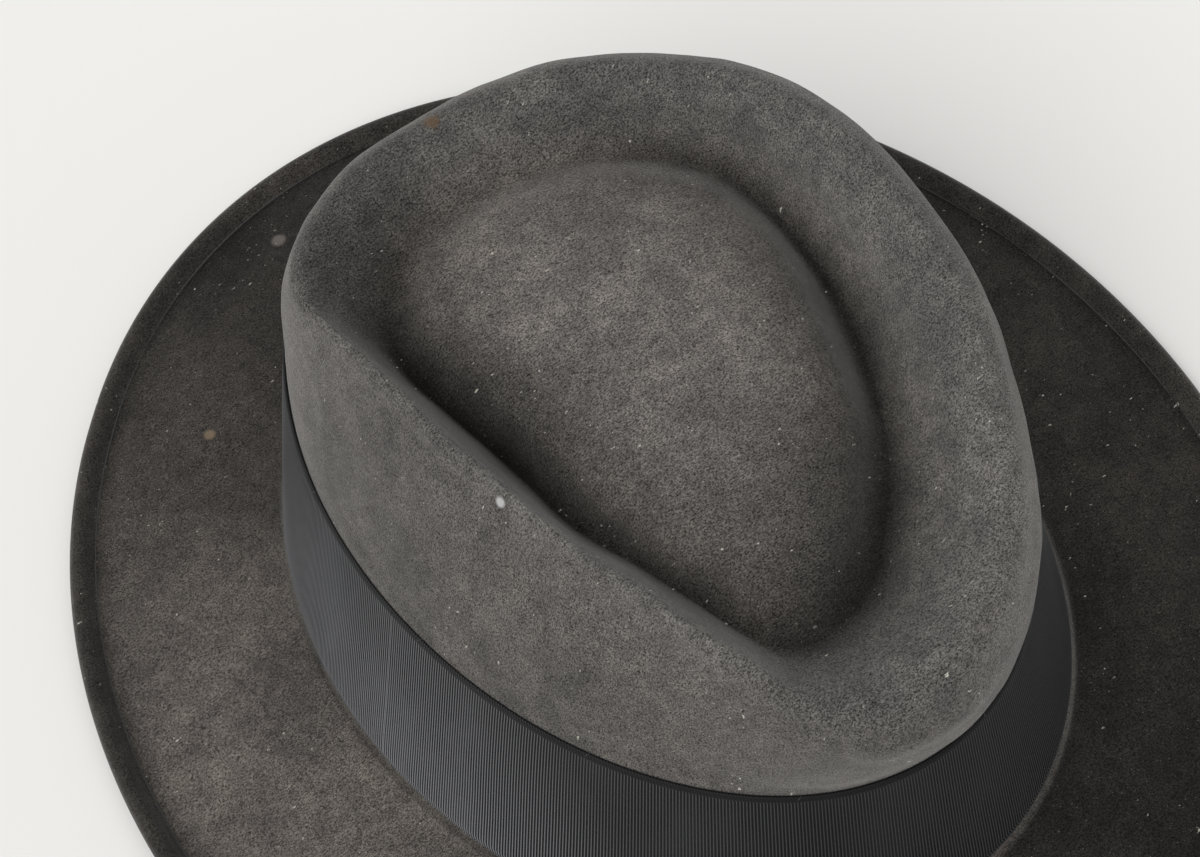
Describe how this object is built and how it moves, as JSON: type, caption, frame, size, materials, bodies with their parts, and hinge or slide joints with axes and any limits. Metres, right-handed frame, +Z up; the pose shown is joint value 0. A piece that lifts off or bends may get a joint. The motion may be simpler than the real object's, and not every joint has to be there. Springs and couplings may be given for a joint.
{
  "type": "fedora hat",
  "caption": "Charcoal felt fedora with a teardrop crown, a turned-up welted brim edge, a wide grosgrain band with a flat bow, and a leather sweatband and satin lining inside.",
  "frame": {"origin": "middle of the brim's outline at the height of the surface the hat rests on", "axes": "+Z up, -Y the front of the hat, +X the wearer's left"},
  "size_m": [0.2684, 0.3256, 0.1076],
  "materials": {
    "felt": "brushed fur felt, soft nap, charcoal grey",
    "grosgrain": "ribbed grosgrain ribbon, low sheen",
    "thread": "twisted sewing thread",
    "leather": "smooth roan leather, satin",
    "reed": "extruded rod, matte",
    "tape": "plain woven tape",
    "satin": "satin weave, soft shine",
    "shield": "clear film, glossy",
    "paper": "uncoated paper"
  },
  "bodies": {
    "root": {"felt_body": "felt", "welt_thread": "thread", "hatband_ribbon": "grosgrain", "hatband_tacks": "thread", "bow_tail": "grosgrain", "bow_loops": "grosgrain", "bow_knot": "grosgrain", "sweatband_leather": "leather", "sweatband_reed": "reed", "reed_tape": "tape", "sweatband_stitches": "thread", "sweatband_bow": "grosgrain", "lining_side": "satin", "lining_tip": "satin", "tip_shield": "shield", "size_tag": "paper"}
  },
  "joints": []
}
